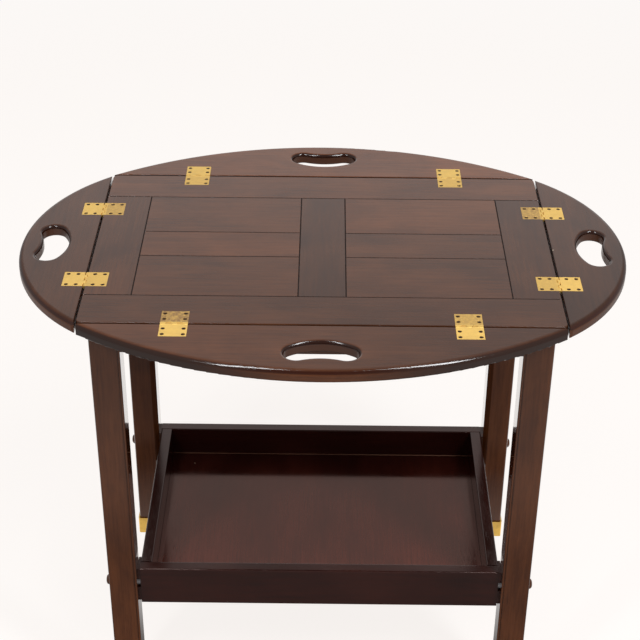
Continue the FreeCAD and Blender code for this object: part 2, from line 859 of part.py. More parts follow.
def cut_hand_hole(body, offset):
    """Kidney-shaped hole: a crown arc towards the joint, two lobes, and a waist towards the rim."""
    span = dim.grip_half_span
    lobe = dim.grip_lobe
    rise = dim.grip_centre - dim.grip_crown
    crown = (span * span + rise * rise - lobe * lobe) / (2 * (rise - lobe))
    dip = dim.grip_waist - dim.grip_centre
    waist = (span * span + dip * dip - lobe * lobe) / (2 * (lobe - dip))
    crown_ratio = crown / (crown - lobe)
    waist_ratio = lobe / (waist + lobe)
    crown_middle = dim.grip_crown + crown
    waist_middle = dim.grip_waist + waist
    crown_end = (span * crown_ratio, crown_middle + (dim.grip_centre - crown_middle) * crown_ratio)
    waist_end = (span - span * waist_ratio, dim.grip_centre + (waist_middle - dim.grip_centre) * waist_ratio)
    outline = [
        (-crown_end[0], -offset - crown_end[1]),
        (crown_end[0], -offset - crown_end[1]),
        (waist_end[0], -offset - waist_end[1]),
        (-waist_end[0], -offset - waist_end[1]),
    ]
    arcs = {0: (crown, -1), 1: (lobe, -1), 2: (waist, 1), 3: (lobe, -1)}
    prism(body, "Z", (underside - MARGIN, top + MARGIN), outline, arcs, cutting=True)

    hole_half = (span + lobe).value + TOLERANCE
    hole_near = -(offset + dim.grip_crown).value + TOLERANCE

    def on_hole(edge):
        box = edge.BoundBox
        return box.XMax < hole_half and box.XMin > -hole_half and box.YMax < hole_near

    for height, radius in ((top, dim.grip_round), (underside, dim.grip_ease)):
        dress(body, "Fillet", "Radius", radius, lambda edge: at_height(edge, height) and on_hole(edge))


def make_flap(name, angle, long_edge):
    body = new_body(f"flap_{name}")
    offset, _, _ = edge_sizes(long_edge)
    tip, tip_out, radius, rim_out = flap_rim(long_edge)
    joint = -offset - half_gap
    outline = [(-tip, joint), (tip, joint), (tip, -tip_out), (-tip, -tip_out)]
    prism(body, "Z", (underside, top), outline, {2: (radius, -1)})
    cut_hand_hole(body, offset)
    centre = radius - rim_out
    round_flap_rim(body, centre, radius, top, 1, dim.rim_round)
    round_flap_rim(body, centre, radius, underside, -1, dim.rim_ease)
    ease = dim.joint_ease
    eased_corner = [
        (joint - ease, top),
        (joint, top - ease),
        (joint + MARGIN, top - ease),
        (joint + MARGIN, top + MARGIN),
        (joint - ease, top + MARGIN),
    ]
    prism(body, "X", (-tip - MARGIN, tip + MARGIN), eased_corner, {0: (ease, -1)}, cutting=True)
    cut_leaf_seats(body, long_edge, -1)
    turn_about_z(body, angle)


# Flush hinges, drawn with the pin's axis along X through the origin and the tray towards +Y

KNUCKLES = 5
SINK_ANGLE = 42


def knuckle_span(number, play):
    """Ends of one knuckle's share of the hinge's width, each drawn in by the play."""
    pitch = dim.hinge_width / KNUCKLES
    start = pitch * number - dim.hinge_width / 2
    return start + play, start + pitch - play


def make_leaf_master(label, side, own_knuckles):
    """Leaf with its own knuckles, slots for the other leaf's, and four countersunk holes."""
    body = new_body(label, listed=False)
    face = dim.knuckle_radius
    outline, rounds = leaf_outline(as_size(0), as_size(0), side, as_size(0))
    prism(body, "Z", (face - dim.leaf_thick, face), outline, rounds)
    for number in range(KNUCKLES):
        if number not in own_knuckles:
            slot = knuckle_span(number, -dim.knuckle_play)
            depth = (-side * MARGIN, side * dim.knuckle_slot)
            block(body, slot, depth, (-face - MARGIN, face + MARGIN), cutting=True)
    for number in own_knuckles:
        rods(body, "X", knuckle_span(number, dim.knuckle_play), [(0, 0)], dim.knuckle_radius)
    through = dim.hinge_width / 2 + MARGIN
    rods(body, "X", (-through, through), [(0, 0)], dim.hinge_pin_radius + dim.hinge_pin_play, cutting=True)
    holes = [
        (across * dim.leaf_hole_side, side * out)
        for across in (-1, 1)
        for out in (dim.leaf_hole_near, dim.leaf_hole_far)
    ]
    rods(body, "Z", (face - dim.leaf_thick - MARGIN, face), holes, dim.leaf_hole_radius, cutting=True)
    rods(body, "Z", (face - dim.leaf_sink_depth, face), holes, dim.leaf_sink_radius, True, -SINK_ANGLE)
    return body


def hinge_places(names):
    """Placements of the hinges on the named edges of the tray."""
    places = []
    for name in names:
        angle, long_edge = EDGES[name]
        offset, _, spot = edge_sizes(long_edge)
        turned = Rotation(Vector(0, 0, 1), angle)
        for side in (-1, 1):
            spot_place = Vector(side * spot.value, -offset.value, pivot_height.value)
            places.append(Placement(turned.multVec(spot_place), turned))
    return places


def make_hinges():
    tray_leaf = make_leaf_master("tray_leaf_master", 1, (0, 2, 4))
    seat_top = dim.knuckle_radius - dim.leaf_thick
    spring_top = -dim.knuckle_radius - dim.spring_gap
    half = dim.spring_width / 2
    seat = (dim.spring_seat_near, dim.spring_seat_far)
    block(tray_leaf, (-half, half), seat, (spring_top, seat_top))
    group("hinge_tray_leaves", tray_leaf, hinge_places(EDGES))

    flap_leaf = make_leaf_master("flap_leaf_master", -1, (1, 3))
    for name in EDGES:
        group(f"hinge_leaves_{name}", flap_leaf, hinge_places([name]))

    pin = new_body("hinge_pin_master", listed=False)
    pin_end = dim.hinge_width / 2 - dim.knuckle_play
    rods(pin, "X", (-pin_end, pin_end), [(0, 0)], dim.hinge_pin_radius)
    group("hinge_pins", pin, hinge_places(EDGES))

    spring = new_body("hinge_spring_master", listed=False)
    block(
        spring,
        (-half, half),
        (-dim.spring_tip, dim.spring_seat_far),
        (spring_top - dim.spring_thick, spring_top),
    )
    group("hinge_springs", spring, hinge_places(EDGES))


# Castors, drawn about the swivel axis on the floor with the wheel trailing towards +Y

def at_leg(body, side_x, side_y):
    bind(body, "Placement.Base.x", side_x * (dim.base_length - dim.leg_side) / 2)
    bind(body, "Placement.Base.y", side_y * (dim.base_depth - dim.leg_side) / 2)


def square(half, corner):
    """Plan of a square with rounded corners."""
    flat = half - corner
    outline = [
        (-flat, -half),
        (flat, -half),
        (half, -flat),
        (half, flat),
        (flat, half),
        (-flat, half),
        (-half, flat),
        (-half, -flat),
    ]
    return outline, {number: (corner, 1) for number in (1, 3, 5, 7)}


def make_castor_cup(corner, side_x, side_y):
    """Square cup for the leg's foot, with the neck and the spigot that the fork turns on."""
    body = new_body(f"castor_cup_{corner}")
    inside = dim.leg_side / 2 + dim.cup_play
    outline, rounds = square(inside + dim.cup_wall, dim.cup_round)
    prism(body, "Z", (cup_low, cup_low + dim.cup_height), outline, rounds)
    block(body, (-inside, inside), (-inside, inside), (leg_foot, leg_foot + dim.cup_height), cutting=True)
    flange_top = dim.crown_low - dim.swivel_gap
    profile = [
        (0, flange_top - dim.spigot_flange_thick),
        (dim.spigot_flange, flange_top - dim.spigot_flange_thick),
        (dim.spigot_flange, flange_top),
        (dim.spigot_radius, flange_top),
        (dim.spigot_radius, neck_low),
        (dim.neck_foot, neck_low),
        (dim.neck_radius, cup_low),
        (0, cup_low),
    ]
    turned_about_z(body, profile)
    at_leg(body, side_x, side_y)


def make_castor_fork(corner, side_x, side_y):
    """Fork with a round crown and two curved cheeks that carry the axle."""
    body = new_body(f"castor_fork_{corner}")
    half = dim.fork_slot / 2 + dim.cheek_thick
    end = dim.cheek_end
    trail = dim.castor_trail
    axle = dim.wheel_radius
    profile = [
        (-half, crown_top),
        (-half, dim.crown_low),
        (trail - end, axle),
        (trail, axle - end),
        (trail + end, axle),
        (half, crown_top),
    ]
    arcs = {1: (dim.fork_front_arc, -1), 2: (end, 1), 3: (end, 1), 4: (dim.fork_back_arc, 1)}
    prism(body, "X", (-half, half), profile, arcs)
    rods(body, "Z", (dim.crown_low, crown_top), [(0, 0)], dim.crown_radius)
    slot = dim.fork_slot / 2
    reach = trail + 2 * dim.wheel_radius
    block(body, (-slot, slot), (-reach, reach), (-MARGIN, dim.crown_low), cutting=True)
    bore = dim.spigot_radius + dim.spigot_play
    rods(body, "Z", (dim.crown_low - MARGIN, crown_top), [(0, 0)], bore, cutting=True)
    axle_hole = dim.axle_radius + dim.axle_play / 2
    rods(body, "X", (-half - MARGIN, half + MARGIN), [(trail, axle)], axle_hole, cutting=True)
    at_leg(body, side_x, side_y)


def make_castor_axle(corner, side_x, side_y):
    body = new_body(f"castor_axle_{corner}")
    half = dim.fork_slot / 2 + dim.cheek_thick
    rods(body, "X", (-half, half), [(dim.castor_trail, dim.wheel_radius)], dim.axle_radius)
    at_leg(body, side_x, side_y)


def make_castor_wheel(corner, side_x, side_y):
    """Wheel with a hub, a thinner web and a barrel-shaped tread."""
    body = new_body(f"castor_wheel_{corner}")
    half = dim.wheel_width / 2
    web = dim.wheel_web / 2
    bore = dim.axle_radius + dim.axle_play
    shoulder = dim.wheel_radius - dim.wheel_crown
    rim = dim.wheel_radius - dim.wheel_rim
    tread = (half * half + dim.wheel_crown * dim.wheel_crown) / (2 * dim.wheel_crown)
    profile = [
        (-half, bore),
        (half, bore),
        (half, dim.hub_radius),
        (web, dim.hub_radius),
        (web, rim),
        (half, rim),
        (half, shoulder),
        (-half, shoulder),
        (-half, rim),
        (-web, rim),
        (-web, dim.hub_radius),
        (-half, dim.hub_radius),
    ]
    turned_about_x(body, profile, {6: (tread, 1)})
    bind(body, "Placement.Base.x", side_x * (dim.base_length - dim.leg_side) / 2)
    bind(body, "Placement.Base.y", side_y * (dim.base_depth - dim.leg_side) / 2 + dim.castor_trail)
    bind(body, "Placement.Base.z", dim.wheel_radius)


# Assembly

for corner_name, signs in CORNERS.items():
    make_leg(corner_name, *signs)
make_long_apron("front", -1)
make_long_apron("back", 1)
make_short_apron("left", -1)
make_short_apron("right", 1)
make_corner_blocks()
make_long_shelf_wall("front", -1)
make_long_shelf_wall("back", 1)
make_short_shelf_wall("left", -1)
make_short_shelf_wall("right", 1)
make_shelf_floor()
make_shelf_screws()
make_shelf_spacers()
make_screw_buttons()

for edge_name, (edge_angle, is_long) in EDGES.items():
    if is_long:
        make_rail(edge_name, edge_angle)
    else:
        make_stile(edge_name, edge_angle)
    make_flap(edge_name, edge_angle, is_long)
make_muntin()
make_boards()
make_batten("left", -1)
make_batten("right", 1)
make_batten_screws()
make_hinges()

for corner_name, signs in CORNERS.items():
    make_castor_cup(corner_name, *signs)
    make_castor_fork(corner_name, *signs)
    make_castor_axle(corner_name, *signs)
    make_castor_wheel(corner_name, *signs)

doc.recompute()
for item in doc.Objects:
    if "Invalid" in item.State or "Error" in item.State:
        raise ValueError(f"{item.Label} did not compute")
for item in subparts:
    if item.Shape.isNull() or not item.Shape.isValid():
        raise ValueError(f"{item.Label} has no sound shape")

os.makedirs("parts", exist_ok=True)
for item in subparts:
    item.Shape.exportStep(f"parts/{item.Label}.step")
print(len(subparts), "nodes written")
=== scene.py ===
# Tea trolley: materials, small fasteners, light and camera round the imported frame.
# Lengths are metres in the frame's own axes: X along the trolley, front towards -Y, floor at Z = 0.
import json
import math
import random
from collections import namedtuple
from functools import partial

import bmesh
import bpy
from mathutils import Matrix, Vector


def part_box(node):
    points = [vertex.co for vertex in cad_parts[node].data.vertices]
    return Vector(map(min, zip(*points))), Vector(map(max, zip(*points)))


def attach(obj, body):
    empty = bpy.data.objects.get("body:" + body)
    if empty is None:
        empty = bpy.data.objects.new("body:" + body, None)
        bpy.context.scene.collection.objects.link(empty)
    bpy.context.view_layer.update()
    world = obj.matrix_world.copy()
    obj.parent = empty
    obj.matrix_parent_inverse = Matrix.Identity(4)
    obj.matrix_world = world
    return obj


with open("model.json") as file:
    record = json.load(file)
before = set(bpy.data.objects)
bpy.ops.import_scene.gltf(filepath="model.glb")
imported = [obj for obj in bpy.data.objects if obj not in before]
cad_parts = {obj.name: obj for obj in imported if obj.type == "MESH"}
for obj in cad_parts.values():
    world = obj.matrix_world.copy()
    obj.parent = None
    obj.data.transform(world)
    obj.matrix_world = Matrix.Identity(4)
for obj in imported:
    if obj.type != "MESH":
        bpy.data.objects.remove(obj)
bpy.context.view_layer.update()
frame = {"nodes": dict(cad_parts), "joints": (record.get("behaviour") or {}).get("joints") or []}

CORNERS = ("front_left", "front_right", "back_left", "back_right")
# Each edge of the tray and its turn about Z from the front
EDGES = {"front": 0, "right": 90, "back": 180, "left": 270}
joint_places = {joint["name"]: Vector(joint.get("pos_m", (0, 0, 0))) for joint in frame["joints"]}
top_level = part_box("tray_muntin")[1].z

# The photograph's view, fitted to the corners of the tray
CAMERA_PLACE = Vector((0.0027, -1.9767, 1.8659))
CAMERA_PITCH = math.radians(32.484)
CAMERA_YAW = math.radians(-0.139)
CAMERA_ROLL = math.radians(0.529)
CAMERA_LENS = 86.33
CAMERA_SENSOR = 36
IMAGE_SIDE = 640
CAMERA_SHIFT_X = -0.6 / IMAGE_SIDE
CAMERA_SHIFT_Y = 0.5 / IMAGE_SIDE

# Wood: red-brown stain under clear lacquer, as linear colours for the darkest, middle and lightest grain
STAIN = ((0.070, 0.0190, 0.0049), (0.108, 0.0312, 0.0084), (0.148, 0.0445, 0.0127))
# The lower tray's darker colours: its own darker stain together with painted shade under the top
SHELF_STAIN_AND_SHADE = ((0.020, 0.0028, 0.0018), (0.036, 0.0055, 0.0032), (0.054, 0.0095, 0.0055))
BARE_WOOD = (0.62, 0.50, 0.36)
# Colour and roughness of what lies over the stain in places, partly painted shade in the grooves and
# hand-holes
GLUE_LINE, GLUE_GLOSS = (0.34, 0.19, 0.12), 0.5
# Dark colour of the V-grooves: dirt together with painted shade in the recess
GROOVE_DIRT_AND_SHADE, GROOVE_GLOSS = (0.016, 0.0050, 0.0022), 1.0
EDGE_STAIN, EDGE_GLOSS = (0.040, 0.0082, 0.0030), 0.09
END_STAIN, END_GLOSS = (0.029, 0.0092, 0.0044), 0.10
# Flat colour of the hand-hole walls: darker stain together with painted shade inside the hole
HOLE_STAIN_AND_SHADE, HOLE_GLOSS = (0.085, 0.0300, 0.0140), 0.32
HOLE_EDGE_STAIN, HOLE_EDGE_GLOSS = (0.026, 0.0066, 0.0028), 0.15
# Stain tone of the flaps' rims below their roundings, raised above the top's as painted light on these
# upright faces
RIM_LIT_TONE = 1.2
LACQUER_IOR = 1.55

# Metals
BRASS = (0.98, 0.62, 0.15)
BRASS_TARNISH = (0.36, 0.195, 0.075)
BRONZE = (0.095, 0.045, 0.018)
STEEL = (0.50, 0.50, 0.52)

# Levels that most of a noise lies between
NOISE_SPREAD = (0.3, 0.7)


class Graph:
    """A node tree. Most methods add a node and return the socket to link on from."""

    def __init__(self, tree):
        self.nodes = tree.nodes
        self.links = tree.links

    def put(self, socket, value):
        """Links a socket to a value's own socket, or sets it."""
        if isinstance(value, bpy.types.NodeSocket):
            self.links.new(value, socket)
        elif socket.type == "RGBA":
            socket.default_value = (*value, 1)
        else:
            socket.default_value = value

    def math(self, operation, first, second=0.0):
        node = self.nodes.new("ShaderNodeMath")
        node.operation = operation
        self.put(node.inputs[0], first)
        self.put(node.inputs[1], second)
        return node.outputs["Value"]

    def span(self, value, low, high, to_low=0.0, to_high=1.0):
        """A value moved from one range to another, clamped at its ends."""
        node = self.nodes.new("ShaderNodeMapRange")
        self.put(node.inputs["Value"], value)
        ends = {"From Min": low, "From Max": high, "To Min": to_low, "To Max": to_high}
        for name, end in ends.items():
            node.inputs[name].default_value = end
        return node.outputs["Result"]

    def ramp(self, factor, stops):
        """Colour by a factor, from (position, colour) stops."""
        node = self.nodes.new("ShaderNodeValToRGB")
        self.links.new(factor, node.inputs["Fac"])
        elements = node.color_ramp.elements
        while len(elements) > 1:
            elements.remove(elements[-1])
        elements[0].position, first_colour = stops[0]
        elements[0].color = (*first_colour, 1)
        for position, colour in stops[1:]:
            elements.new(position).color = (*colour, 1)
        return node.outputs["Color"]

    def ray(self, kind):
        """1 for the rays that a Light Path output names."""
        return self.nodes.new("ShaderNodeLightPath").outputs[kind]

    def mirrored_ray(self):
        """1 for rays that a mirror or glass sends on."""
        return self.math("MAXIMUM", self.ray("Is Glossy Ray"), self.ray("Is Transmission Ray"))

    def either(self, factor, first, second):
        """The first shader where the factor is 0, and the second where it is 1."""
        node = self.nodes.new("ShaderNodeMixShader")
        for socket, value in zip(node.inputs, (factor, first, second)):
            self.links.new(value, socket)
        return node.outputs["Shader"]


class Shader(Graph):
    """One material's node tree."""

    def __init__(self, name):
        self.material = bpy.data.materials.new(name)
        self.material.use_nodes = True
        super().__init__(self.material.node_tree)
        self.surface = self.nodes["Principled BSDF"]

    def set(self, **inputs):
        """Sets or links the surface's sockets, named with underscores."""
        for name, value in inputs.items():
            self.put(self.surface.inputs[name.replace("_", " ")], value)

    def coordinates(self):
        return self.nodes.new("ShaderNodeTexCoord").outputs["Object"]

    def mapped(self, scale, offset=(0, 0, 0)):
        """The piece's own coordinates, stretched and moved."""
        node = self.nodes.new("ShaderNodeMapping")
        self.links.new(self.coordinates(), node.inputs["Vector"])
        node.inputs["Scale"].default_value = scale
        node.inputs["Location"].default_value = offset
        return node.outputs["Vector"]

    def noise(self, vector, detail=4.0, roughness=0.5, distortion=0.0):
        node = self.nodes.new("ShaderNodeTexNoise")
        self.links.new(vector, node.inputs["Vector"])
        node.inputs["Scale"].default_value = 1
        node.inputs["Detail"].default_value = detail
        node.inputs["Roughness"].default_value = roughness
        node.inputs["Distortion"].default_value = distortion
        return node.outputs["Fac"]

    def length(self, x, y):
        """Length of a level vector."""
        squares = [self.math("MULTIPLY", part, part) for part in (x, y)]
        return self.math("SQRT", self.math("ADD", *squares))

    def between(self, kind, factor, first, second, way="MIX"):
        """A mix of two values of a kind: Float, Vector or Color."""
        node = self.nodes.new("ShaderNodeMix")
        node.data_type = {"Float": "FLOAT", "Vector": "VECTOR", "Color": "RGBA"}[kind]
        node.blend_type = way
        sockets = {socket.identifier: socket for socket in node.inputs}
        self.put(sockets["Factor_Float"], factor)
        self.put(sockets[f"A_{kind}"], first)
        self.put(sockets[f"B_{kind}"], second)
        return next(socket for socket in node.outputs if socket.identifier == f"Result_{kind}")

    def blend(self, factor, first, second):
        """A number between two others."""
        return self.between("Float", factor, first, second)

    def mix(self, factor, first, second, way="MIX"):
        """A colour between two others."""
        return self.between("Color", factor, first, second, way)

    def axes(self):
        """The piece's own X, Y and Z."""
        node = self.nodes.new("ShaderNodeSeparateXYZ")
        self.links.new(self.coordinates(), node.inputs["Vector"])
        return node.outputs["X"], node.outputs["Y"], node.outputs["Z"]

    def depth(self):
        """Depth under the top of the open tray."""
        return self.math("SUBTRACT", top_level, self.axes()[2])

    def near(self, place, inner, outer):
        """1 within the inner distance of a place, fading to 0 at the outer one."""
        node = self.nodes.new("ShaderNodeVectorMath")
        node.operation = "DISTANCE"
        self.links.new(self.coordinates(), node.inputs[0])
        node.inputs[1].default_value = place
        return self.span(node.outputs["Value"], inner, outer, 1, 0)

    def bump(self, height, strength, distance, normal=None):
        node = self.nodes.new("ShaderNodeBump")
        self.links.new(height, node.inputs["Height"])
        node.inputs["Strength"].default_value = strength
        node.inputs["Distance"].default_value = distance
        if normal:
            self.links.new(normal, node.inputs["Normal"])
        return node.outputs["Normal"]

    def own_normal(self, x, y, z):
        """A normal given in the piece's own axes."""
        joined = self.nodes.new("ShaderNodeCombineXYZ")
        for socket, value in zip(joined.inputs, (x, y, z)):
            self.put(socket, value)
        node = self.nodes.new("ShaderNodeVectorTransform")
        node.vector_type = "NORMAL"
        node.convert_from = "OBJECT"
        node.convert_to = "WORLD"
        self.links.new(joined.outputs["Vector"], node.inputs["Vector"])
        return node.outputs["Vector"]

    def replaced_normal(self, factor, normal):
        """The mesh's normal, or another one where the factor is 1."""
        own = self.nodes.new("ShaderNodeNewGeometry").outputs["Normal"]
        return self.between("Vector", factor, own, normal)


def dress(node, material):
    """Gives a carried-over node its material."""
    mesh = frame["nodes"][node].data
    mesh.materials.clear()
    mesh.materials.append(material)


def scaled(colour, tone):
    """A colour made lighter or darker."""
    return tuple(channel * tone for channel in colour)


def stretched(grain, along, across):
    """Texture scale with the grain running along one axis."""
    return tuple(along if axis == grain else across for axis in "XYZ")


def seeded_offset(seed):
    """A place in the noise that a piece's own seed gives."""
    draw = random.Random(seed)
    return tuple(draw.uniform(-40, 40) for _ in range(3))


# Wood

Finish = namedtuple("Finish", "stain gloss specular tint coat")
UNTINTED = (1, 1, 1)
TOP_FINISH = Finish(STAIN, 0.17, 0.5, UNTINTED, 0.0)
BASE_FINISH = Finish(STAIN, 0.07, 0.1, UNTINTED, 1.0)
WALL_FINISH = Finish(SHELF_STAIN_AND_SHADE, 0.16, 0.8, (1, 0.74, 0.68), 0.0)
FLOOR_FINISH = Finish(SHELF_STAIN_AND_SHADE, 0.12, 1.0, (1, 0.58, 0.48), 0.0)


def groove_mask(shader):
    """1 in the V-grooves of the tray's field, where wax and dirt stay and painted shade darkens the stain,
    and 0 elsewhere.
    """
    shallow, deep = 0.00001, 0.0002
    clear_of_edge = 0.004
    inside_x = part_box("tray_rail_front")[1].x - clear_of_edge
    inside_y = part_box("tray_muntin")[1].y + clear_of_edge
    x, y, _ = shader.axes()
    sunk = shader.span(shader.depth(), shallow, deep)
    within_x = shader.math("LESS_THAN", shader.math("ABSOLUTE", x), inside_x)
    within_y = shader.math("LESS_THAN", shader.math("ABSOLUTE", y), inside_y)
    return shader.math("MULTIPLY", sunk, shader.math("MULTIPLY", within_x, within_y))


# Rounding, ease and tip width of a flap's rim
RIM_ROUND, RIM_EASE, TIP_WIDTH = 0.008, 0.003, 0.004
# Depths under the top that take in the rounding of a flap's hand-hole, and all of the flap but its underside
HOLE_ROUND, ABOVE_UNDERSIDE = 0.0055, 0.0178
# Depths between which the rim's and the hand-hole's darker stains set in, and the rounding's stain ends
RIM_STAINED = (0.0006, 0.0022)
HOLE_STAINED = (0.0002, 0.0010)
ROUNDING_ENDS = (0.0044, 0.0062)
# Depths between which the rim turns to its own, lighter tone of painted light
RIM_TONED = (0.0040, 0.0065)
# Slants of a long flap's rim between which it turns to end grain
END_GRAIN_SLANTS = (0.04, 0.30)
Rim = namedtuple("Rim", "along half middle radius")


def flap_rim(edge):
    """A flap's round rim: the axis it runs along, half its length, and its middle and radius from above."""
    low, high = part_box(f"flap_{edge}")
    along = 0 if edge in ("front", "back") else 1
    half = (high[along] - low[along]) / 2
    rise = high[1 - along] - low[1 - along] - TIP_WIDTH
    radius = (half**2 + rise**2) / (2 * rise)
    out = Matrix.Rotation(math.radians(EDGES[edge]), 3, "Z") @ Vector((0, -1, 0))
    farthest = max(abs(low[1 - along]), abs(high[1 - along]))
    return Rim(along, half, out * (farthest - radius), radius)


def rim_normal(shader, edge):
    """A flap's normal, on its rim that of the exact rounding, so that highlights run evenly round it."""
    near_tip = 0.012
    rim = flap_rim(edge)
    low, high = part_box(f"flap_{edge}")
    axes = shader.axes()
    upper = shader.span(axes[2], high.z - RIM_ROUND, high.z)
    lower = shader.span(axes[2], low.z, low.z + RIM_EASE, 1, 0)
    rise = shader.math("SUBTRACT", upper, lower)
    spread = shader.math("SQRT", shader.math("SUBTRACT", 1, shader.math("MULTIPLY", rise, rise)))
    out_x = shader.math("SUBTRACT", axes[0], rim.middle.x)
    out_y = shader.math("SUBTRACT", axes[1], rim.middle.y)
    distance = shader.length(out_x, out_y)
    share = shader.math("DIVIDE", spread, distance)
    across = [shader.math("MULTIPLY", part, share) for part in (out_x, out_y)]
    exact = shader.own_normal(*across, rise)
    outside = shader.math("GREATER_THAN", distance, rim.radius - RIM_ROUND)
    clear_of_tips = shader.math("LESS_THAN", shader.math("ABSOLUTE", axes[rim.along]), rim.half - near_tip)
    return shader.replaced_normal(shader.math("MULTIPLY", outside, clear_of_tips), exact)


def sunk_mask(shader, depths, down_to):
    """A mask that rises from 0 to 1 between two depths under the top, and is 0 again past a third."""
    depth = shader.depth()
    within = shader.math("LESS_THAN", depth, down_to)
    return shader.math("MULTIPLY", shader.span(depth, *depths), within)


def rounding_mask(shader):
    """1 on the rounding of a flap's rim, which took more stain."""
    fading = shader.span(shader.depth(), *ROUNDING_ENDS, 1, 0)
    return shader.math("MULTIPLY", sunk_mask(shader, RIM_STAINED, RIM_ROUND), fading)


def end_grain_mask(shader, edge):
    """1 towards the tips of a long flap's rim, where it cuts across the grain."""
    rim = flap_rim(edge)
    slant = shader.math("DIVIDE", shader.math("ABSOLUTE", shader.axes()[rim.along]), rim.radius)
    sunk = sunk_mask(shader, RIM_STAINED, ABOVE_UNDERSIDE)
    return shader.math("MULTIPLY", sunk, shader.span(slant, *END_GRAIN_SLANTS))


def inner_edge_mask(shader, edge, down_to):
    """1 in a flap's hand-hole and on its straight edge, from just under the top down to a depth."""
    rim = flap_rim(edge)
    axes = shader.axes()
    distance = shader.length(*[shader.math("SUBTRACT", axes[n], rim.middle[n]) for n in (0, 1)])
    inside = shader.math("LESS_THAN", distance, rim.radius - 2 * RIM_ROUND)
    return shader.math("MULTIPLY", sunk_mask(shader, HOLE_STAINED, down_to), inside)


def glue_line_mask(shader):
    """1 along the back edge of the lower tray's floor, where a line of old glue shows."""
    outer, inner = 0.0022, 0.0012
    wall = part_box("shelf_wall_back")[0].y
    return shader.span(shader.axes()[1], wall - outer, wall - inner)


Shade = namedtuple("Shade", "mask colour gloss")
# Layers of the wood's figure: scales along and across the grain, then detail, roughness and distortion
FIGURE_LAYERS = {
    "streaks": (1.6, 34, 7, 0.62, 0.35),
    "patches": (7, 13, 4, 0.55, 0.4),
    "threads": (14, 280, 3, 0.6, 0),
    "pores": (45, 1500, 2, 0.5, 0),
}
PATCH_SHARE, THREAD_SHARE, PORE_SHARE = 0.70, 0.30, 0.4
# Levels of their layer that pores begin and are deepest at, and their tone
PORE_LEVELS, PORE_TONE = (0.60, 0.72), 0.4
STREAK_HEIGHT = 0.5
# Levels of the figure that take the darkest, the middle and the lightest stain
STAIN_LEVELS = (0.38, 0.50, 0.62)
# Scale of rubbed places, and the least and most that rubbing adds to a finish's roughness
RUBBED_SCALE, RUBBED_LEAST, RUBBED_MOST = (9, 9, 9), -0.03, 0.04


def wood(node, grain, tones, seed, finish, shades=(), rim_edge=None):
    """Stained wood with long streaks, soft patches and fine pores, under lacquer.

    The stain goes from the first tone to the second along the grain, from the node's low end to its high
    end. Each shade lays its own colour and gloss over the stain, where its mask is 1. A flap is given the
    edge that its rim is on.
    """
    shader = Shader(f"wood_{node}")
    offset = seeded_offset(seed)
    layers = {}
    for name, (along, across, *look) in FIGURE_LAYERS.items():
        layers[name] = shader.noise(shader.mapped(stretched(grain, along, across), offset), *look)
    broad = shader.blend(PATCH_SHARE, layers["streaks"], layers["patches"])
    figure = shader.blend(THREAD_SHARE, broad, layers["threads"])
    stain = shader.ramp(figure, list(zip(STAIN_LEVELS, finish.stain)))
    low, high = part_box(node)
    axis = "XYZ".index(grain)
    tone = shader.span(shader.axes()[axis], low[axis], high[axis], *tones)
    normal = None
    if rim_edge:
        # The rim's upright faces are made lighter: painted light
        tone = shader.blend(shader.span(shader.depth(), *RIM_TONED), tone, RIM_LIT_TONE)
        normal = rim_normal(shader, rim_edge)
    toned = shader.mix(1.0, stain, tone, "MULTIPLY")
    pores = shader.span(layers["pores"], *PORE_LEVELS)
    in_pores = scaled(finish.stain[0], PORE_TONE)
    colour = shader.mix(shader.math("MULTIPLY", pores, PORE_SHARE), toned, in_pores)
    rubbed = shader.noise(shader.mapped(RUBBED_SCALE, offset), detail=3, roughness=0.6)
    least, most = finish.gloss + RUBBED_LEAST, finish.gloss + RUBBED_MOST
    roughness = shader.span(rubbed, *NOISE_SPREAD, least, most)
    for shade in shades:
        mask = shade.mask(shader)
        colour = shader.mix(mask, colour, shade.colour)
        roughness = shader.blend(mask, roughness, shade.gloss)
    if node in CHIPS:
        place, size = CHIPS[node]
        colour = shader.mix(shader.near(place, size / 2, size), colour, BARE_WOOD)
    grain_height = shader.math("ADD", shader.math("MULTIPLY", layers["streaks"], STREAK_HEIGHT), pores)
    shader.set(
        Base_Color=colour,
        Roughness=roughness,
        IOR=LACQUER_IOR,
        Specular_IOR_Level=finish.specular,
        Specular_Tint=finish.tint,
        Coat_Weight=finish.coat,
        Coat_Roughness=finish.gloss,
        Normal=shader.bump(grain_height, strength=0.10, distance=0.0002, normal=normal),
    )
    return shader.material


# Places and sizes of small chips down to the bare wood
CHIPS = {
    "flap_right": (Vector((0.3400, -0.0080, top_level)), 0.0013),
    "shelf_floor": (Vector((-0.2190, 0.1422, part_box("shelf_floor")[1].z)), 0.0013),
}
# Grain direction, and stain tone from the low end to the high end, of each wooden node of the top
TOP_WOOD = {
    "tray_rail_front": ("X", (0.71, 0.62)),
    "tray_rail_back": ("X", (1.15, 1.03)),
    "tray_stile_left": ("Y", (0.80, 0.80)),
    "tray_stile_right": ("Y", (0.64, 0.64)),
    "tray_muntin": ("Y", (0.50, 0.70)),
    "board_left_front": ("X", (0.86, 0.83)),
    "board_left_middle": ("X", (1.09, 1.07)),
    "board_left_back": ("X", (0.92, 0.92)),
    "board_right_front": ("X", (0.79, 0.75)),
    "board_right_middle": ("X", (0.80, 0.80)),
    "board_right_back": ("X", (1.05, 1.03)),
    "batten_left": ("Y", (0.80, 0.80)),
    "batten_right": ("Y", (0.80, 0.80)),
    "flap_front": ("X", (1.10, 0.55)),
    "flap_back": ("X", (1.42, 1.62)),
    "flap_left": ("Y", (0.60, 0.80)),
    "flap_right": ("Y", (0.45, 0.72)),
}

GLUE_SHADE = Shade(glue_line_mask, GLUE_LINE, GLUE_GLOSS)
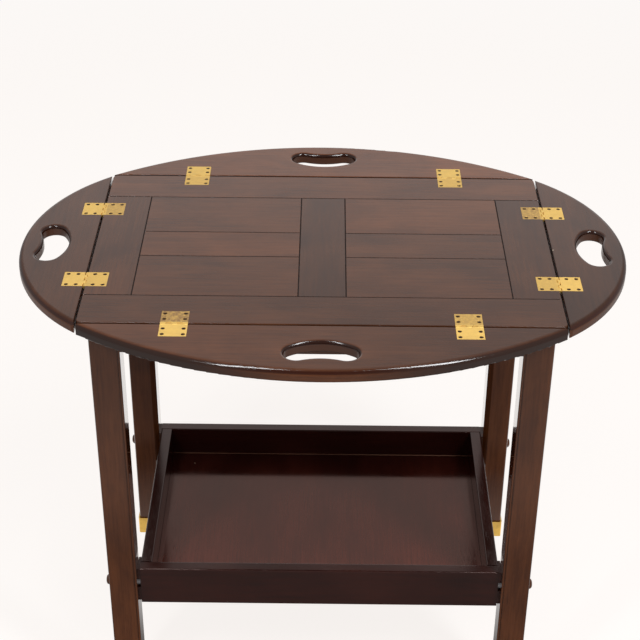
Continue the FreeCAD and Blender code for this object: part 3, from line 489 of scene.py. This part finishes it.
# Finish, shades, stain tones as above, and each node's grain direction, of the base's woods
BASE_WOOD = (
    (BASE_FINISH, (), (1.12, 1.12), {
        "apron_front": "X",
        "apron_back": "X",
        "apron_left": "Y",
        "apron_right": "Y",
        "corner_blocks": "Z",
        "screw_buttons": "Z",
        **{f"leg_{corner}": "Z" for corner in CORNERS},
    }),
    # The lower tray's walls are made darker still: painted shade under the top
    (WALL_FINISH, (), (0.75, 0.75), {
        "shelf_wall_front": "X",
        "shelf_wall_back": "X",
        "shelf_wall_left": "Y",
        "shelf_wall_right": "Y",
    }),
    # The lower tray's floor goes from lighter at the front to darker at the back: painted shade under the
    # top
    (FLOOR_FINISH, (GLUE_SHADE,), (2.6, 1.0), {"shelf_floor": "Y"}),
)


def flap_shades(edge):
    """Shades of a flap's rim and of its hand-hole, each laid over those before it."""
    wall = partial(inner_edge_mask, edge=edge, down_to=ABOVE_UNDERSIDE)
    upper_edge = partial(inner_edge_mask, edge=edge, down_to=HOLE_ROUND)
    shades = [Shade(rounding_mask, EDGE_STAIN, EDGE_GLOSS)]
    if edge in ("front", "back"):
        shades.append(Shade(partial(end_grain_mask, edge=edge), END_STAIN, END_GLOSS))
    shades.append(Shade(wall, HOLE_STAIN_AND_SHADE, HOLE_GLOSS))
    shades.append(Shade(upper_edge, HOLE_EDGE_STAIN, HOLE_EDGE_GLOSS))
    return shades


def dress_wood():
    seed = 1
    for node, (grain, tones) in TOP_WOOD.items():
        edge = node.removeprefix("flap_") if node.startswith("flap_") else None
        shades = flap_shades(edge) if edge else [Shade(groove_mask, GROOVE_DIRT_AND_SHADE, GROOVE_GLOSS)]
        dress(node, wood(node, grain, tones, seed, TOP_FINISH, shades, edge))
        seed += 1
    for finish, shades, tones, grains in BASE_WOOD:
        for node, grain in grains.items():
            dress(node, wood(node, grain, tones, seed, finish, shades))
            seed += 1


# Metal

# Scale of the tarnish patches, and the levels of their noise that they begin and are fullest at
TARNISH_SCALE, TARNISH_LEVELS = (70, 70, 70), (0.42, 0.70)
# Scales along and across the brushing
BRUSH_ALONG, BRUSH_ACROSS = 25, 1400
# Share and tone of the dark brushed lines, and how far they move the roughness either way
BRUSH_SHARE, BRUSH_TONE, BRUSH_ROUGHNESS = 0.12, 0.55, 0.05


def metal(name, colour, tarnish, *, gloss, wear, brushed, seed, sheen=1.0, sunk_dirt=None, stains=None):
    """Metal with tarnish patches, fine brushing along an axis and rubbed roughness.

    Wear is how far the patches go to the tarnish colour, and sheen is the bare metal's share under a
    dulling film. Sunk dirt is the colour of what lies below the top's level. Stains gives a mask of
    further tarnish.
    """
    shader = Shader(name)
    offset = seeded_offset(seed)
    patches = shader.noise(shader.mapped(TARNISH_SCALE, offset), detail=8, roughness=0.75)
    brush_scale = stretched(brushed, BRUSH_ALONG, BRUSH_ACROSS)
    lines = shader.noise(shader.mapped(brush_scale, offset), detail=3, roughness=0.6)
    dull = shader.math("MULTIPLY", shader.span(patches, *TARNISH_LEVELS), wear)
    if stains:
        dull = shader.math("MAXIMUM", dull, stains(shader))
    tint = shader.mix(dull, colour, tarnish)
    if sunk_dirt:
        sunk = shader.math("MULTIPLY", shader.span(shader.depth(), *DIRT_DEPTHS), off_barrel(shader))
        tint = shader.mix(sunk, tint, sunk_dirt)
    in_lines = shader.span(lines, *NOISE_SPREAD, 0.0, BRUSH_SHARE)
    shader.set(
        Base_Color=shader.mix(in_lines, tint, scaled(colour, BRUSH_TONE)),
        Metallic=sheen,
        Roughness=shader.span(lines, *NOISE_SPREAD, gloss - BRUSH_ROUGHNESS, gloss + BRUSH_ROUGHNESS),
        Normal=shader.bump(lines, strength=0.06, distance=0.0001),
    )
    return shader.material


# How far each tray leaf has dulled, by its edge and its side along that edge
LEAF_TARNISH = {
    ("front", -1): 1.0,
    ("front", 1): 0.55,
    ("right", -1): 0.30,
    ("right", 1): 0.75,
    ("back", -1): 0.25,
    ("back", 1): 0.25,
    ("left", -1): 0.55,
    ("left", 1): 0.10,
}
# Scale of the blotches on them, and the least dulling between blotches
BLOTCH_SCALE, BLOTCH_LEVELS, BLOTCH_LEAST = (260, 260, 260), (0.36, 0.60), 0.45
# Width of a hinge, and the distance from its joint line that its barrel reaches
HINGE_WIDTH, HINGE_BARREL = 0.0381, 0.0045
# The flap leaves keep little bare metal, so their brass renders brighter than the tray leaves': painted
# light for the glare they catch
FLAP_LEAF_LIT_SHEEN, TRAY_LEAF_SHEEN = 0.10, 0.45
HINGE_DIRT = (0.055, 0.024, 0.008)
# Depths under the top between which dirt sets in on the hinges
DIRT_DEPTHS = (0.00005, 0.0004)


def hinge_spot(edge):
    """Distance of an edge's two hinges from the middle of the edge."""
    along = 0 if edge in ("front", "back") else 1
    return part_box(f"hinge_leaves_{edge}")[1][along] - HINGE_WIDTH / 2


def on_edge(edge, along, inward):
    """Point on the top, at a place along an edge and a distance inward from its joint line."""
    joint = joint_places[f"{edge}_flap_fold"]
    turn = Matrix.Rotation(math.radians(EDGES[edge]), 3, "Z")
    return turn @ Vector((along, inward - joint.xy.length, top_level))


def off_barrel(shader):
    """0 on the barrels of the hinges, which stay bright, and 1 on their leaves."""
    total = 1.0
    for axis, edge in zip(shader.axes(), ("right", "back")):
        line = joint_places[f"{edge}_flap_fold"].xy.length
        away = shader.math("ABSOLUTE", shader.math("SUBTRACT", shader.math("ABSOLUTE", axis), line))
        total = shader.math("MULTIPLY", total, shader.math("GREATER_THAN", away, HINGE_BARREL))
    return total


def leaf_stains(shader):
    """Mask of the dulled tray leaves, in blotches."""
    leaf_middle, inner, outer = 0.017, 0.022, 0.032
    total = None
    for (edge, side), amount in LEAF_TARNISH.items():
        place = on_edge(edge, side * hinge_spot(edge), leaf_middle)
        spot = shader.math("MULTIPLY", shader.near(place, inner, outer), amount)
        total = spot if total is None else shader.math("MAXIMUM", total, spot)
    blotches = shader.noise(shader.mapped(BLOTCH_SCALE), detail=4, roughness=0.6)
    dulled = shader.math("MULTIPLY", total, shader.span(blotches, *BLOTCH_LEVELS, BLOTCH_LEAST, 1.0))
    return shader.math("MULTIPLY", dulled, off_barrel(shader))


def dress_metal():
    brass = partial(metal, colour=BRASS, tarnish=BRASS_TARNISH)
    leaf_brass = partial(brass, sunk_dirt=HINGE_DIRT)
    for edge in EDGES:
        flap_brass = leaf_brass(
            f"hinge_brass_{edge}",
            gloss=0.46,
            wear=0.25,
            brushed="X" if edge in ("front", "back") else "Y",
            seed=2,
            sheen=FLAP_LEAF_LIT_SHEEN,
        )
        dress(f"hinge_leaves_{edge}", flap_brass)
    tray_brass = leaf_brass(
        "hinge_brass_tray",
        gloss=0.42,
        wear=0.3,
        brushed="X",
        seed=3,
        sheen=TRAY_LEAF_SHEEN,
        stains=leaf_stains,
    )
    dress("hinge_tray_leaves", tray_brass)
    dull_steel = scaled(STEEL, 0.5)
    plain_steel = metal("plain_steel", STEEL, dull_steel, gloss=0.35, wear=0.4, brushed="X", seed=4)
    for node in ("hinge_pins", "hinge_springs", "batten_screws", "shelf_screws", "shelf_spacers"):
        dress(node, plain_steel)
    cast = brass("castor_brass_polished", gloss=0.20, wear=0.45, brushed="Z", seed=5)
    tread = brass("castor_brass_tread", gloss=0.30, wear=0.8, brushed="X", seed=6)
    for corner in CORNERS:
        dress(f"castor_cup_{corner}", cast)
        dress(f"castor_fork_{corner}", cast)
        dress(f"castor_axle_{corner}", plain_steel)
        dress(f"castor_wheel_{corner}", tread)


# Small fasteners: slotted countersunk screws in the hinge leaves, round-headed ones in the castor cups

HEAD_SIDES = 24
HINGE_SCREW_SEED, CUP_SCREW_SEED = 11, 12


def ring(form, radius, height):
    """Vertices of one circle of a turned form, or the one on its axis."""
    if radius == 0:
        return [form.verts.new((0, 0, height))]
    steps = [math.tau * number / HEAD_SIDES for number in range(HEAD_SIDES)]
    return [form.verts.new((radius * math.cos(a), radius * math.sin(a), height)) for a in steps]


def turned(profile):
    """A closed form turned round Z from (radius, height) points that start and end on the axis."""
    form = bmesh.new()
    rings = [ring(form, radius, height) for radius, height in profile]
    for lower, upper in zip(rings, rings[1:]):
        for number in range(HEAD_SIDES):
            after = (number + 1) % HEAD_SIDES
            corners = [lower[number % len(lower)], lower[after % len(lower)]]
            corners += [upper[after % len(upper)], upper[number % len(upper)]]
            form.faces.new(list(dict.fromkeys(corners)))
    bmesh.ops.recalc_face_normals(form, faces=form.faces)
    return form


def mesh_object(name, form):
    mesh = bpy.data.meshes.new(name)
    form.to_mesh(mesh)
    form.free()
    made = bpy.data.objects.new(name, mesh)
    bpy.context.scene.collection.objects.link(made)
    return made


def slotted(profile, width, depth):
    """Mesh of a turned head with a straight screwdriver slot cut across its top."""
    head = mesh_object("head", turned(profile))
    reach = 3 * max(radius for radius, _ in profile)
    crown = max(height for _, height in profile)
    cutter = bmesh.new()
    bmesh.ops.create_cube(cutter, size=1)
    placed = Matrix.Translation((0, 0, crown)) @ Matrix.Diagonal((reach, width, 2 * depth, 1))
    bmesh.ops.transform(cutter, matrix=placed, verts=cutter.verts)
    slot = mesh_object("slot", cutter)
    cut = head.modifiers.new("slot", "BOOLEAN")
    cut.object = slot
    cut.operation = "DIFFERENCE"
    cut.solver = "EXACT"
    graph = bpy.context.evaluated_depsgraph_get()
    finished = bpy.data.meshes.new_from_object(head.evaluated_get(graph))
    for used in (head, slot):
        bpy.data.objects.remove(used)
    return finished


def scatter(name, master, places, body, material):
    """One piece made of copies of a master mesh, riding on a body."""
    form = bmesh.new()
    for place in places:
        copy = master.copy()
        copy.transform(place)
        form.from_mesh(copy)
        bpy.data.meshes.remove(copy)
    piece = mesh_object(name, form)
    piece.data.materials.append(material)
    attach(piece, body)


# Radii of a hinge screw's head and shank, its head's rim and depth, and its drop under the leaf's face
SCREW_HEAD, SCREW_SHANK = 0.00268, 0.0015
SCREW_RIM, SCREW_SINK = 0.00012, 0.00143
SCREW_DROP = 0.00022
LEAF_THICK = 0.002
# Places of a leaf's screws: to each side of its middle, and the two distances from the joint line
SCREW_SIDE, SCREW_NEAR, SCREW_FAR = 0.0142, 0.012, 0.026


def screw_places(draw, edge, side):
    """Places of the eight screws in an edge's leaves: side is 1 in the tray and -1 in the flap."""
    places = []
    for spot in (-hinge_spot(edge), hinge_spot(edge)):
        for reach in (SCREW_NEAR, SCREW_FAR):
            for offset in (-SCREW_SIDE, SCREW_SIDE):
                place = on_edge(edge, spot + offset, side * reach) - Vector((0, 0, SCREW_DROP))
                spin = Matrix.Rotation(draw.uniform(0, math.tau), 4, "Z")
                places.append(Matrix.Translation(place) @ spin)
    return places


def add_hinge_screws():
    """Countersunk screws that fill the holes of the hinge leaves, each turned its own way."""
    profile = [
        (0, 0),
        (SCREW_HEAD - SCREW_RIM, 0),
        (SCREW_HEAD, -SCREW_RIM),
        (SCREW_SHANK, -SCREW_SINK),
        (SCREW_SHANK, SCREW_DROP - LEAF_THICK),
        (0, SCREW_DROP - LEAF_THICK),
    ]
    master = slotted(profile, width=0.0008, depth=0.0007)
    dull_bronze = scaled(BRONZE, 0.4)
    bronze = metal("screw_bronze", BRONZE, dull_bronze, gloss=0.42, wear=0.6, brushed="X", seed=8)
    draw = random.Random(HINGE_SCREW_SEED)
    tray_places = []
    for edge in EDGES:
        flap_places = screw_places(draw, edge, -1)
        scatter(f"hinge_screws_{edge}", master, flap_places, f"flap_{edge}", bronze)
        tray_places += screw_places(draw, edge, 1)
    scatter("hinge_screws_tray", master, tray_places, "tray", bronze)


def add_cup_screws():
    """Two domed screws in each castor cup, one in its front and one in its back."""
    radius, height = 0.0028, 0.0014
    below_rim = 0.010
    profile = [
        (0, height),
        (0.45 * radius, 0.93 * height),
        (0.8 * radius, 0.6 * height),
        (radius, 0),
        (0, 0),
    ]
    master = slotted(profile, width=0.0009, depth=0.0008)
    brass = metal("cup_screw_brass", BRASS, BRASS_TARNISH, gloss=0.28, wear=0.6, brushed="X", seed=9)
    draw = random.Random(CUP_SCREW_SEED)
    places = []
    for corner in CORNERS:
        low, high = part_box(f"castor_cup_{corner}")
        for face, lean in ((low.y, 90), (high.y, -90)):
            place = Vector(((low.x + high.x) / 2, face, high.z - below_rim))
            spin = Matrix.Rotation(draw.uniform(0, math.tau), 4, "Z")
            places.append(Matrix.Translation(place) @ Matrix.Rotation(math.radians(lean), 4, "X") @ spin)
    scatter("cup_screws", master, places, "base", brass)


def add_packing_strips():
    """Thin eased strips, above and below the spacer rings, that close the gaps beside the legs."""
    clear, ease = 0.00005, 0.0005
    inset, below_rim, above_foot = 0.002, 0.001, 0.004
    wall_low, wall_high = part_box("shelf_wall_back")
    ring_low, ring_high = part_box("shelf_spacers")
    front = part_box("leg_back_right")[0].y + inset
    below_ring = (wall_low.z + above_foot, ring_low.z - clear)
    above_ring = (ring_high.z + clear, wall_high.z - below_rim)
    form = bmesh.new()
    for low, high in (below_ring, above_ring):
        near = Vector((wall_high.x + clear, front, low))
        far = Vector((ring_high.x - clear, wall_high.y - clear, high))
        size = Matrix.Diagonal((*(far - near), 1))
        for mirror in ((-1, -1, 1), (-1, 1, 1), (1, -1, 1), (1, 1, 1)):
            middle = (near + far) / 2 * Vector(mirror)
            bmesh.ops.create_cube(form, size=1, matrix=Matrix.Translation(middle) @ size)
    bmesh.ops.bevel(form, geom=form.edges[:], offset=ease, segments=2, affect="EDGES")
    strips = mesh_object("packing_strips", form)
    strips.data.materials.append(frame["nodes"]["shelf_wall_back"].data.materials[0])
    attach(strips, "base")


# Studio: two softboxes in front, white walls behind and a pale floor

SOFTBOX_AIM = Vector((0, 0, 0.72))
SOFTBOX_FAR = 2.6
# Direction, width, height and power of each softbox
SOFTBOXES = {
    "left": (Vector((-0.322, -0.514, 0.795)), 0.14, 1.9, 23.0),
    "right": (Vector((0.426, -0.470, 0.773)), 0.32, 1.7, 38.5),
}
SOFTBOX_COLOUR = (0.96, 0.98, 1.0)
FILL_STRENGTH = 0.28
# Brightness of the back wall by the sine of its elevation
WALL_LEVELS = (
    (0, 1),
    (0.45, 1),
    (0.478, 0.85),
    (0.56, 0.62),
    (0.62, 0.52),
    (0.72, 0.64),
    (0.93, 0.64),
    (1, 0.15),
)
# Share of that brightness in front, and the sines of the directions between which it rises to the whole
FRONT_SHARE = 0.2
FRONT_TO, BACK_FROM = -0.35, 0.15
# Brightness of the side walls, and the sines of the directions between which the back wall turns to them
SIDE_LEVEL = 0.36
SIDE_FROM, SIDE_TO = 0.26, 0.50
FLOOR_RADIUS = 14
FLOOR_CLEAR_FROM, FLOOR_CLEAR_TO = 2.5, 6.0
FLOOR_PAPER = (0.24, 0.232, 0.229)
FLOOR_TOOTH = (0.20, 0.195, 0.192)
FLOOR_TOOTH_SCALE = (220, 220, 220)
FLOOR_GLOW = (0.88, 0.845, 0.82)
# Share of that glow in mirrored views of the floor, by the distance in front (-Y) or behind; it falls to
# nothing under and just in front of the trolley as a painted shadow
FLOOR_MIRRORED_SHADOWED = ((-1.4, 0.26), (-1.0, 0.30), (-0.75, 0.26), (-0.55, 0.04), (-0.1, 0.0), (0.2, 1.1))
# Share of that glow in the light that the floor sends up
FLOOR_BOUNCE = 0.35
# Distances from the middle between which the mirrored share turns to the side walls' brightness
FLOOR_SIDES = (0.55, 1.0)


def grey_stops(levels):
    """Ramp stops from (position, brightness) pairs."""
    return [(position, (level, level, level)) for position, level in levels]


def add_softboxes():
    for name, (away, width, height, power) in SOFTBOXES.items():
        lamp = bpy.data.lights.new(f"softbox_{name}", "AREA")
        lamp.shape = "RECTANGLE"
        lamp.size = width
        lamp.size_y = height
        lamp.energy = power
        lamp.color = SOFTBOX_COLOUR
        box = bpy.data.objects.new(lamp.name, lamp)
        box.location = SOFTBOX_AIM + SOFTBOX_FAR * away
        box.rotation_euler = away.to_track_quat("Z", "Y").to_euler()
        bpy.context.scene.collection.objects.link(box)


def white_light(graph, strength):
    """White background of a strength."""
    node = graph.nodes.new("ShaderNodeBackground")
    node.inputs["Color"].default_value = (1, 1, 1, 1)
    graph.put(node.inputs["Strength"], strength)
    return node.outputs["Background"]


def room_walls(graph):
    """Brightness of the room in each direction, as a mirror shows it."""
    parts = graph.nodes.new("ShaderNodeSeparateXYZ")
    generated = graph.nodes.new("ShaderNodeTexCoord").outputs["Generated"]
    graph.links.new(generated, parts.inputs["Vector"])
    level = graph.ramp(parts.outputs["Z"], grey_stops(WALL_LEVELS))
    towards_back = graph.span(parts.outputs["Y"], FRONT_TO, BACK_FROM, FRONT_SHARE, 1.0)
    sideways = graph.math("ABSOLUTE", parts.outputs["X"])
    near_middle = graph.span(sideways, SIDE_FROM, SIDE_TO, 1.0, 0.0)
    back_wall = graph.math("MULTIPLY", level, graph.math("MULTIPLY", towards_back, near_middle))
    side_walls = graph.span(sideways, SIDE_FROM, SIDE_TO, 0.0, SIDE_LEVEL)
    return graph.math("ADD", back_wall, side_walls)


def add_world():
    """White to the camera, the room's walls to a mirror, and an even fill light for the rest."""
    world = bpy.data.worlds.new("studio")
    world.use_nodes = True
    bpy.context.scene.world = world
    world.node_tree.nodes.clear()
    graph = Graph(world.node_tree)
    walls = white_light(graph, room_walls(graph))
    lit = graph.either(graph.mirrored_ray(), white_light(graph, FILL_STRENGTH), walls)
    shown = graph.either(graph.ray("Is Camera Ray"), lit, white_light(graph, 1.0))
    graph.links.new(shown, graph.nodes.new("ShaderNodeOutputWorld").inputs["Surface"])


def mirrored_floor(shader, x, y):
    """Share of the floor's glow that a mirror shows, with a painted shadow near the trolley, and 0 for other
    rays.
    """
    front, back = FLOOR_MIRRORED_SHADOWED[0][0], FLOOR_MIRRORED_SHADOWED[-1][0]
    stops = [((place - front) / (back - front), level) for place, level in FLOOR_MIRRORED_SHADOWED]
    middle = shader.ramp(shader.span(y, front, back), grey_stops(stops))
    sideways = shader.span(shader.math("ABSOLUTE", x), *FLOOR_SIDES)
    return shader.math("MULTIPLY", shader.mirrored_ray(), shader.blend(sideways, middle, SIDE_LEVEL))


def add_floor():
    """A pale paper floor that keeps the trolley's shadow and clears to white far out."""
    form = bmesh.new()
    bmesh.ops.create_circle(form, cap_ends=True, segments=96, radius=FLOOR_RADIUS)
    floor = mesh_object("floor", form)
    shader = Shader("floor_paper")
    nodes, links = shader.nodes, shader.links
    x, y, _ = shader.axes()
    seen = shader.math("ADD", shader.ray("Is Camera Ray"), mirrored_floor(shader, x, y))
    bounced = shader.math("MULTIPLY", shader.ray("Is Diffuse Ray"), FLOOR_BOUNCE)
    fibres = shader.noise(shader.mapped(FLOOR_TOOTH_SCALE), detail=3, roughness=0.6)
    tooth = shader.span(fibres, *NOISE_SPREAD)
    paper = nodes.new("ShaderNodeBsdfDiffuse")
    links.new(shader.mix(tooth, FLOOR_PAPER, FLOOR_TOOTH), paper.inputs["Color"])
    glow = nodes.new("ShaderNodeEmission")
    glow.inputs["Color"].default_value = (*FLOOR_GLOW, 1)
    links.new(shader.math("ADD", seen, bounced), glow.inputs["Strength"])
    near = nodes.new("ShaderNodeAddShader")
    links.new(paper.outputs["BSDF"], near.inputs[0])
    links.new(glow.outputs["Emission"], near.inputs[1])
    white = nodes.new("ShaderNodeEmission")
    links.new(seen, white.inputs["Strength"])
    clear = shader.span(shader.length(x, y), FLOOR_CLEAR_FROM, FLOOR_CLEAR_TO)
    shown = shader.either(clear, near.outputs["Shader"], white.outputs["Emission"])
    links.new(shown, nodes["Material Output"].inputs["Surface"])
    nodes.remove(shader.surface)
    floor.data.materials.append(shader.material)


def add_camera():
    """The photograph's camera."""
    level_look = Vector((math.sin(CAMERA_YAW), math.cos(CAMERA_YAW), 0))
    look = level_look * math.cos(CAMERA_PITCH) - Vector((0, 0, math.sin(CAMERA_PITCH)))
    level = Vector((math.cos(CAMERA_YAW), -math.sin(CAMERA_YAW), 0))
    rise = level.cross(look)
    right = level * math.cos(CAMERA_ROLL) + rise * math.sin(CAMERA_ROLL)
    up = rise * math.cos(CAMERA_ROLL) - level * math.sin(CAMERA_ROLL)
    data = bpy.data.cameras.new("photo_view")
    data.lens = CAMERA_LENS
    data.sensor_width = CAMERA_SENSOR
    data.shift_x = CAMERA_SHIFT_X
    data.shift_y = CAMERA_SHIFT_Y
    camera = bpy.data.objects.new("photo_view", data)
    camera.matrix_world = Matrix.Translation(CAMERA_PLACE) @ Matrix((right, up, -look)).transposed().to_4x4()
    bpy.context.scene.collection.objects.link(camera)
    bpy.context.scene.camera = camera


bpy.context.scene.view_settings.view_transform = "Standard"
dress_wood()
dress_metal()
add_hinge_screws()
add_cup_screws()
add_packing_strips()
add_softboxes()
add_world()
add_floor()
add_camera()
